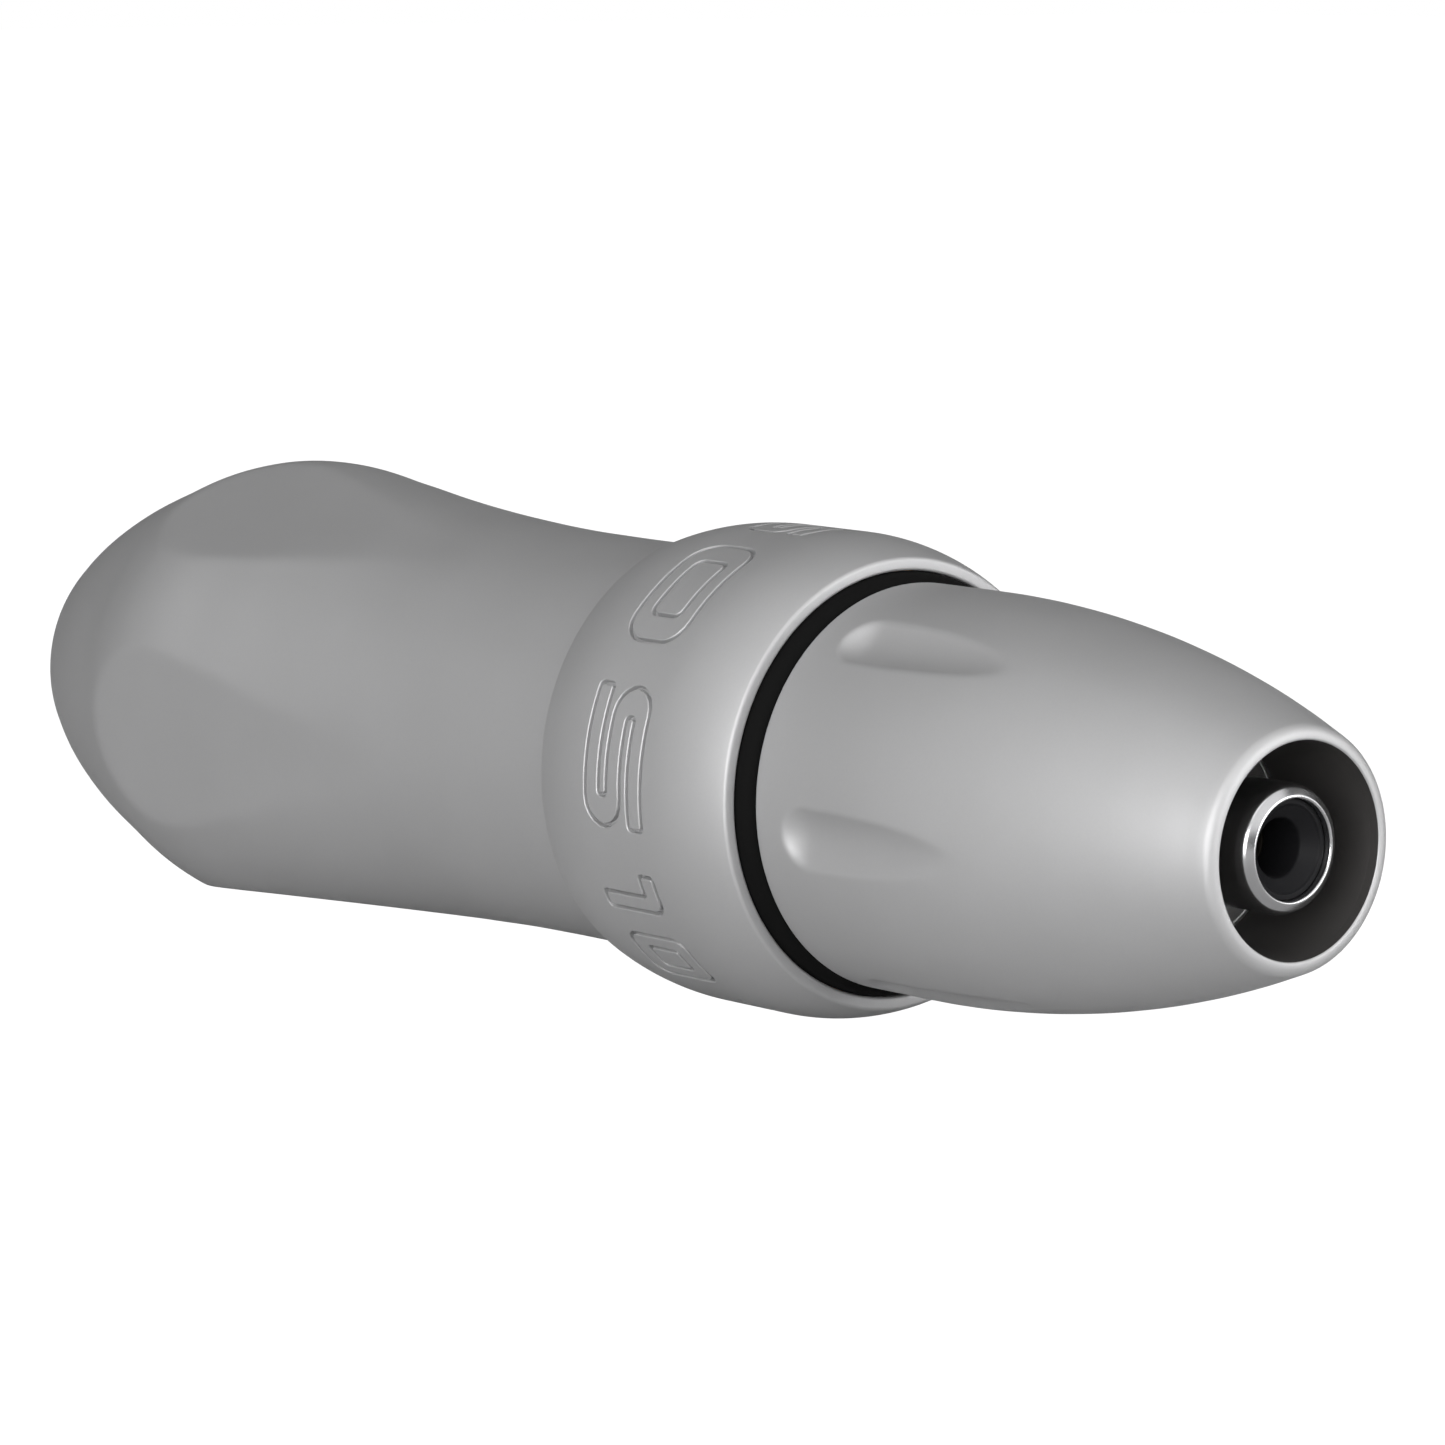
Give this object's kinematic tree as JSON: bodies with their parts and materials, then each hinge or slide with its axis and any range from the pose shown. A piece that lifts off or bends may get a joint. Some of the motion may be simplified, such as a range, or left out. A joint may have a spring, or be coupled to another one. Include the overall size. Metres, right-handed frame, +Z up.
{
  "type": "pen-style rotary tattoo machine",
  "caption": "Pen-style rotary machine: faceted metal grip, dial collar, ogive tail with finger grooves and recessed power jack, slanted-bearing needle drive.",
  "frame": {"origin": "centre of the cartridge socket's mouth, on the grip's front face", "axes": "+X along the pen's axis from the cartridge mouth back to the power jack, +Z up"},
  "size_m": [0.1275, 0.0335, 0.0335],
  "materials": {
    "anodised_grey": "matte bead-blasted anodised",
    "plate_grey": "turned, satin",
    "machined_aluminium": "turned, satin",
    "seat_steel": "turned, satin",
    "plated_steel": "nickel plated",
    "ground_steel": "ground, bright",
    "spring_steel": "black oxide",
    "jack_chrome": "polished",
    "brass": "turned",
    "blackened_brass": "blackened",
    "bronze": "sintered, satin",
    "black_rubber": "matte",
    "black_plastic": "satin moulded",
    "liner_black": "matte moulded",
    "cage_nylon": "satin moulded",
    "tip_nylon": "satin moulded",
    "magnet_grey": "nickel plated",
    "carbon": "matte carbon",
    "copper_winding": "enamelled winding",
    "red_insulation": "smooth PVC",
    "black_insulation": "smooth PVC"
  },
  "bodies": {
    "grip_body": {"grip": "anodised_grey", "collar": "anodised_grey", "cartridge_seat": "seat_steel", "cartridge_o_ring": "black_rubber", "seat_o_ring": "black_rubber", "collar_o_ring": "black_rubber"},
    "key_ring_body": {"key_ring": "bronze", "seam_o_ring": "black_rubber"},
    "rear_body": {"tail_shell": "anodised_grey", "well_liner": "liner_black", "jack_plate": "plate_grey", "plate_ring": "brass", "jack_barrel": "jack_chrome", "jack_insulator": "black_plastic", "jack_contact": "blackened_brass", "ground_lug": "plated_steel", "jack_nut": "plated_steel", "frame_tube": "machined_aluminium", "guide_bush": "bronze", "bush_circlip": "spring_steel", "motor_can": "plated_steel", "motor_front_bush": "bronze", "motor_magnet": "magnet_grey", "motor_end_cap": "black_plastic", "motor_rear_bush": "bronze", "motor_brushes": "carbon", "motor_terminals": "brass", "motor_screws": "spring_steel", "lead_red": "red_insulation", "lead_black": "black_insulation"},
    "rotor": {"motor_shaft": "ground_steel", "armature_coil": "copper_winding", "commutator": "brass", "stroke_hub": "ground_steel", "hub_grub_screw": "spring_steel", "bearing_inner_race": "ground_steel", "race_circlip": "spring_steel"},
    "ball_cage": {"bearing_balls": "ground_steel", "bearing_cage": "cage_nylon"},
    "wobble_ring": {"bearing_outer_race": "ground_steel", "drive_pin": "ground_steel"},
    "drive_bar_body": {"drive_yoke": "machined_aluminium", "drive_bar": "ground_steel", "bar_tip": "tip_nylon"}
  },
  "joints": [
    {"name": "depth_travel", "type": "slide", "parent": "grip_body", "child": "key_ring_body", "axis": [1, 0, 0], "range_m": [0, 0.0035]},
    {"name": "depth_turn", "type": "hinge", "parent": "key_ring_body", "child": "rear_body", "pos_m": [0.0911, 0, 0], "axis": [1, 0, 0], "range_deg": [0, 315]},
    {"name": "rotor_spin", "type": "hinge", "parent": "rear_body", "child": "rotor", "pos_m": [0.069, 0, 0], "axis": [1, 0, 0], "continuous": true},
    {"name": "cage_orbit", "type": "hinge", "parent": "rotor", "child": "ball_cage", "pos_m": [0.069, 0, 0], "axis": [0.9796, 0.2011, 0], "continuous": true},
    {"name": "ring_nutation", "type": "hinge", "parent": "rotor", "child": "wobble_ring", "pos_m": [0.069, 0, 0], "axis": [0.9796, 0.2011, 0], "continuous": true},
    {"name": "bar_stroke", "type": "slide", "parent": "rear_body", "child": "drive_bar_body", "axis": [1, 0, 0], "range_m": [-0.00175, 0.00175]}
  ],
  "couplings": [
    {"joint": "depth_turn", "follows": "depth_travel", "rad_per_m": 1570.8},
    {"joint": "cage_orbit", "follows": "rotor_spin", "ratio": -0.58036},
    {"joint": "ring_nutation", "follows": "rotor_spin", "ratio": -1}
  ]
}
